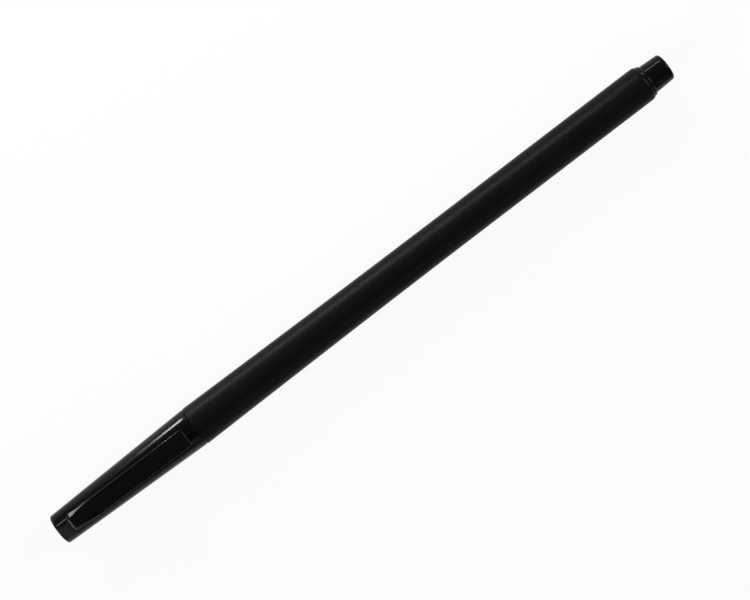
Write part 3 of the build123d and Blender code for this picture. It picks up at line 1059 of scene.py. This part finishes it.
        on_rings = near_stations([crown[5], mouth[3]], CAP_RUB)

        def nearness(point):
            if radius_of(point) - cap_radius(shape, point.x) < CLIP_RUB_HEIGHT:
                return on_rings(point)
            return max(on_rings(point), 1 - abs(abs(point.y) - shape.clip_width / 2) / CLIP_RUB)

        mark_edges(cap, nearness)
        # The crown's scuffs carry a painted sheen on top of the crown
        finish_piece(cap, gloss_black("polished cap", scuffed_with_sheen=True), "cap", "cap_shell")
        return {"FINISHED"}


class PEN_OT_tail_plug(bpy.types.Operator):
    """Tail plug with its flange, its tapered knob and its slotted spigot"""

    bl_idname = "pen.make_tail_plug"
    bl_label = "Tail plug"

    def execute(self, context):
        shape = context.scene.pen_shape
        spigot_r = spigot_radius(shape)
        flange_r = shape.barrel_rear / 2 - REAR_DROP - TAIL_FLANGE_INSET
        core_r = KNOB_TIP_R - KNOB_WALL
        knob_x = REAR_X + TAIL_FLANGE
        foot_x = knob_x + KNOB_FOOT
        edge_x = TAIL_X - shape.knob_edge
        edge_r = mix(SEAT_R, KNOB_TIP_R, (edge_x - foot_x) / (TAIL_X - foot_x))
        bead = ring(PLUG_X + BEAD_INSET, (BEAD_FOOT, spigot_r), (BEAD_TOP, spigot_r + BEAD_HEIGHT))
        rim = soft_corner(
            (REAR_X, flange_r - TAIL_RIM_EDGE), (REAR_X, flange_r), (REAR_X + TAIL_RIM_EDGE, flange_r), 3)
        brim = soft_corner(
            (knob_x - TAIL_BRIM_EDGE, flange_r), (knob_x, flange_r), (knob_x, flange_r - TAIL_BRIM_EDGE), 4)
        cove = soft_corner((knob_x, SEAT_R + KNOB_FOOT), (knob_x, SEAT_R), (foot_x, SEAT_R), 7)
        knob = soft_corner(
            (edge_x, edge_r), (TAIL_X, KNOB_TIP_R), (TAIL_X, KNOB_TIP_R - shape.knob_edge), 10)
        stations = [
            (TAIL_X - KNOB_END_WALL, core_r), (PLUG_X, core_r), (PLUG_X, spigot_r - LEAD_IN),
            (PLUG_X + LEAD_IN, spigot_r), *bead, (REAR_X, spigot_r), *rim, *brim, *cove,
            *run(cove[-1], knob[0], 6), *knob[1:]]
        plug = turn_piece("glossy_tail_plug", stations)
        for turn in (0, math.pi / 2):
            clear_selection()
            bpy.ops.mesh.primitive_cube_add(
                size=1, location=(PLUG_X, 0, AXIS_Z), rotation=(turn, 0, 0),
                scale=(2 * SLOT_DEPTH, SLOT_WIDTH, shape.barrel_rear))
            slots = bpy.context.object
            bpy.ops.object.transform_apply(location=True, rotation=True, scale=True)
            combine(plug, slots, "DIFFERENCE")
        mark_edges(plug, near_stations([knob[5], brim[2]], PLUG_RUB))
        finish_piece(plug, gloss_black("polished plug"), "pen_body", "tail_plug")
        return {"FINISHED"}


class PEN_OT_front_section(bpy.types.Operator):
    """Nose under the cap, with the cap's seat ring, the grip and the sealing land"""

    bl_idname = "pen.make_front_section"
    bl_label = "Front section"

    def execute(self, context):
        shape = context.scene.pen_shape
        spigot_r = spigot_radius(shape)
        flange_r = shape.barrel_bore / 2 + FLANGE_HEIGHT
        socket_r = shape.barrel_bore / 2 - RIB_HEIGHT
        relief_r = SEAT_R - SEAT_RELIEF
        guide_r = WICK_R + SLIDE
        hole_r = SLEEVE_R + PRESS
        seat_end_x = FRONT_X - SEAT_LENGTH
        ring_x = FRONT_X - SEAT_RING_INSET
        flange_x = FRONT_X + FLANGE_THICKNESS
        stop_x = FRONT_X + STOP_DEPTH
        hole_x = SLEEVE_REAR_X + END_GAP
        hollow_x = hole_x + WICK_GUIDE
        nose = soft_corner(
            (NOSE_X, NOSE_TIP_R - NOSE_EDGE), (NOSE_X, NOSE_TIP_R),
            (NOSE_X + NOSE_EDGE, NOSE_TIP_R + NOSE_EDGE_RISE), 4)
        step = soft_corner(
            (LAND_X, LAND_R + GRIP_STEP_FOOT), (LAND_X, GRIP_TIP_R),
            (LAND_X + GRIP_EDGE, GRIP_TIP_R + GRIP_EDGE_RISE), 4)
        seat_ring = ring(
            ring_x, (SEAT_RING_FOOT, relief_r), (SEAT_RING_FLANK, relief_r + SEAT_RING_FLANK_HEIGHT),
            (SEAT_RING_TOP, SEAT_R))
        outside = [
            *nose, (NOSE_X + NOSE_LENGTH, LAND_R), (LAND_X, LAND_R), *step,
            *run(step[-1], (seat_end_x, relief_r), 12), *seat_ring, (FRONT_X, relief_r),
            (FRONT_X, flange_r), (flange_x, flange_r), (flange_x, spigot_r),
            (SPIGOT_X - LEAD_IN, spigot_r), (SPIGOT_X, spigot_r - LEAD_IN)]
        inside = [
            (SPIGOT_X, socket_r), (stop_x, socket_r), (stop_x, HOLLOW_R), (hollow_x, HOLLOW_R),
            (hollow_x, guide_r), (hole_x, guide_r), (hole_x, hole_r)]
        section = turn_piece(
            "satin_front_section", [(hole_x, hole_r), (NOSE_X, hole_r), *outside, *inside],
            sides=NOSE_SIDES, closed=True)
        mark_edges(section, near_stations([nose[2], step[2], (ring_x, SEAT_R)], NOSE_RUB))
        finish_piece(section, satin_black(), "pen_body", "front_section")
        return {"FINISHED"}


class PEN_OT_sleeve(bpy.types.Operator):
    """Stepped metal sleeve that carries the writing point"""

    bl_idname = "pen.make_sleeve"
    bl_label = "Metal sleeve"

    def execute(self, context):
        tube_bore_r = SHANK_R + PRESS
        tip = soft_corner(
            (SLEEVE_X, TUBE_R - SLEEVE_EDGE), (SLEEVE_X, TUBE_R), (SLEEVE_X + SLEEVE_EDGE, TUBE_R), 4)
        cone_foot = soft_corner(
            (TUBE_X - CONE_BEND, TUBE_R), (TUBE_X, TUBE_R), (TUBE_X + CONE_BEND, TUBE_R + CONE_BEND_RISE), 4)
        cone_head = soft_corner(
            (CONE_X - CONE_BEND, SLEEVE_R - CONE_BEND_RISE), (CONE_X, SLEEVE_R),
            (CONE_X + CONE_BEND, SLEEVE_R), 4)
        stations = [
            (SLEEVE_X, tube_bore_r), *tip, *cone_foot, *cone_head, (SLEEVE_REAR_X, SLEEVE_R),
            (SLEEVE_REAR_X, SLEEVE_BORE_R), (CONE_X, SLEEVE_BORE_R), (CONE_X, tube_bore_r),
            (SLEEVE_X, tube_bore_r)]
        sleeve = turn_piece("steel_sleeve", stations, sides=SLEEVE_SIDES, closed=True)
        steel = drawn_steel(context.scene.pen_finish.steel)
        finish_piece(sleeve, steel, "pen_body", "tip_sleeve")
        return {"FINISHED"}


class PEN_OT_point(bpy.types.Operator):
    """Plastic writing point in the metal sleeve"""

    bl_idname = "pen.make_point"
    bl_label = "Writing point"

    def execute(self, context):
        finish = context.scene.pen_finish
        body_r = SLEEVE_BORE_R - PRESS
        body_x = CONE_X + END_GAP
        tip = soft_corner(
            (NIB_X, POINT_FLAT_R), (NIB_X, POINT_TIP_R),
            (NIB_X + POINT_EDGE, POINT_TIP_R + POINT_EDGE_RISE), 7)
        stations = [
            *tip, (SLEEVE_X, SHANK_R), (body_x, SHANK_R), (body_x, body_r), (SLEEVE_REAR_X, body_r),
            (SLEEVE_REAR_X, POINT_FLAT_R)]
        point = turn_piece("writing_point", stations, sides=POINT_SIDES)
        plastic = stained_point(finish.point, finish.ink)
        finish_piece(point, plastic, "pen_body", "nib")
        return {"FINISHED"}


class PEN_OT_inner_cap(bpy.types.Operator):
    """Sealing cup inside the cap, with its lip"""

    bl_idname = "pen.make_inner_cap"
    bl_label = "Inner cap"

    def execute(self, context):
        bore_r = LAND_R + SEAL + LIP_HEIGHT
        floor_x = INNER_CAP_X + CUP_END_WALL
        lip_x = INNER_CAP_OPEN_X - CUP_LIP_EDGE
        lip_end_x = INNER_CAP_OPEN_X - LIP_LENGTH
        swell_steps = 12
        end = soft_corner(
            (INNER_CAP_X, INNER_CAP_R - CUP_EDGE), (INNER_CAP_X, INNER_CAP_R),
            (INNER_CAP_X + CUP_EDGE, INNER_CAP_R), 5)
        lip = []
        for index in range(swell_steps + 1):
            share = index / swell_steps
            lip.append((mix(lip_x, lip_end_x, share), bore_r - LIP_HEIGHT * math.sin(math.pi * share) ** 2))
        stations = [
            *end, (lip_x, INNER_CAP_R), (INNER_CAP_OPEN_X, INNER_CAP_R - CUP_LIP_EDGE),
            (INNER_CAP_OPEN_X, bore_r + CUP_LIP_EDGE), *lip, (floor_x + CUP_EDGE, bore_r),
            (floor_x, bore_r - CUP_EDGE)]
        cup = turn_piece("sealing_cup", stations, sides=SLEEVE_SIDES)
        plastic = sealing_plastic(context.scene.pen_finish.seal)
        finish_piece(cup, plastic, "cap", "inner_cap")
        return {"FINISHED"}


class PEN_OT_ink_store(bpy.types.Operator):
    """Finishes of the fibres and the film that stay as the frame has them"""

    bl_idname = "pen.paint_ink_store"
    bl_label = "Ink store"

    def execute(self, context):
        finish = context.scene.pen_finish
        fibre = ink_fibre(finish.ink)
        film = wrapping_film(finish.film)
        for node, paint in (("feed_wick", fibre), ("reservoir_fibre", fibre), ("reservoir_film", film)):
            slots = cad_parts[node].data.materials
            slots.clear()
            slots.append(paint)
        return {"FINISHED"}


class PEN_OT_stage(bpy.types.Operator):
    """White floor, softboxes and the camera of the photo"""

    bl_idname = "pen.make_stage"
    bl_label = "Photo stage"

    def floor(self, stage):
        """Wide floor that shows as white and keeps the pen's shadow."""
        clear_selection()
        bpy.ops.mesh.primitive_plane_add(size=FLOOR_SIZE, location=(0, 0, 0))
        floor = bpy.context.object
        floor.name = "floor"
        material = bpy.data.materials.new("white floor")
        material.use_nodes = True
        tree = material.node_tree
        tree.nodes.clear()
        path = add(tree, "ShaderNodeLightPath").outputs
        seen = arithmetic(tree, "ADD", path["Is Camera Ray"], path["Is Glossy Ray"])
        seen = arithmetic(tree, "ADD", seen, path["Is Transmission Ray"], use_clamp=True)
        share = arithmetic(tree, "MULTIPLY", seen, stage.floor_white_share)
        lit = add(tree, "ShaderNodeBsdfDiffuse", {"Color": (*stage.floor, 1)}).outputs[0]
        white = add(tree, "ShaderNodeEmission").outputs[0]
        shown = add(tree, "ShaderNodeMixShader", {"Fac": share, 1: lit, 2: white}).outputs[0]
        add(tree, "ShaderNodeOutputMaterial", {"Surface": shown})
        floor.data.materials.append(material)

    def softbox(self, name, place, power, aim):
        """Softbox whose length runs between two points and whose front faces a third."""
        start, end = (Vector(point) for point in place[:2])
        middle = (start + end) / 2
        length = (end - start).normalized()
        front = middle - Vector(aim)
        front = (front - front.dot(length) * length).normalized()
        clear_selection()
        bpy.ops.object.light_add(type="AREA", location=middle)
        lamp = bpy.context.object
        lamp.name = f"{name} softbox"
        lamp.data.shape = "RECTANGLE"
        lamp.data.size = (end - start).length
        lamp.data.size_y = place[2]
        lamp.data.energy = power
        lamp.rotation_euler = Matrix((length, front.cross(length), front)).transposed().to_euler()

    def camera(self, stage):
        """Camera over the pen, turned so that the pen runs up to the right."""
        along = Vector((1, 0, 0))
        side = Vector((0, math.cos(stage.tilt), -math.sin(stage.tilt)))
        back = along.cross(side)
        right = math.cos(stage.slope) * along - math.sin(stage.slope) * side
        up = math.sin(stage.slope) * along + math.cos(stage.slope) * side
        target = Vector((stage.aim_along, 0, AXIS_Z)) + stage.aim_across * side
        clear_selection()
        bpy.ops.object.camera_add(location=target + stage.distance * back)
        camera = bpy.context.object
        camera.rotation_euler = Matrix((right, up, back)).transposed().to_euler()
        camera.data.lens = stage.lens
        camera.data.clip_start = NEAREST_SEEN
        bpy.context.scene.camera = camera

    def world(self, scene):
        """Faint light from all round."""
        stage = scene.pen_stage
        scene.world = scene.world or bpy.data.worlds.new("studio")
        scene.world.use_nodes = True
        background = next(node for node in scene.world.node_tree.nodes if node.type == "BACKGROUND")
        background.inputs["Color"].default_value = (*stage.sky, 1)
        background.inputs["Strength"].default_value = stage.sky_strength

    def execute(self, context):
        stage = context.scene.pen_stage
        self.floor(stage)
        for name, place in SOFTBOXES.items():
            self.softbox(name, place, getattr(stage, f"{name}_power"), (0, 0, AXIS_Z))
        for name, place in END_SOFTBOXES.items():
            self.softbox(name, place, stage.end_power, (0, 0, 0))
        self.world(context.scene)
        self.camera(stage)
        context.scene.view_settings.view_transform = "Standard"
        return {"FINISHED"}


class PEN_PT_panel(bpy.types.Panel):
    """Sizes, colours and makers of the pen"""

    bl_idname = "PEN_PT_panel"
    bl_label = "Fineliner pen"
    bl_space_type = "VIEW_3D"
    bl_region_type = "UI"
    bl_category = "Pen"

    def draw(self, context):
        for name, kind in SETTINGS.items():
            settings = getattr(context.scene, name)
            box = self.layout.box()
            box.label(text=kind.__doc__)
            for key in kind.__annotations__:
                box.prop(settings, key)
        for operator in OPERATORS:
            self.layout.operator(operator.bl_idname)


SETTINGS = {"pen_shape": PenShape, "pen_finish": PenFinish, "pen_stage": PenStage}
OPERATORS = (
    PEN_OT_stage, PEN_OT_barrel, PEN_OT_cap, PEN_OT_tail_plug, PEN_OT_front_section, PEN_OT_sleeve,
    PEN_OT_point, PEN_OT_inner_cap, PEN_OT_ink_store)
CLASSES = (*SETTINGS.values(), *OPERATORS, PEN_PT_panel)


def register():
    for made in CLASSES:
        bpy.utils.register_class(made)
    for name, kind in SETTINGS.items():
        setattr(bpy.types.Scene, name, PointerProperty(type=kind))


def unregister():
    for name in SETTINGS:
        delattr(bpy.types.Scene, name)
    for made in reversed(CLASSES):
        bpy.utils.unregister_class(made)


def main():
    register()
    bpy.ops.pen.make_stage()
    bpy.ops.pen.make_barrel()
    bpy.ops.pen.make_cap()
    bpy.ops.pen.make_tail_plug()
    bpy.ops.pen.make_front_section()
    bpy.ops.pen.make_sleeve()
    bpy.ops.pen.make_point()
    bpy.ops.pen.make_inner_cap()
    bpy.ops.pen.paint_ink_store()


if __name__ == "__main__":
    main()
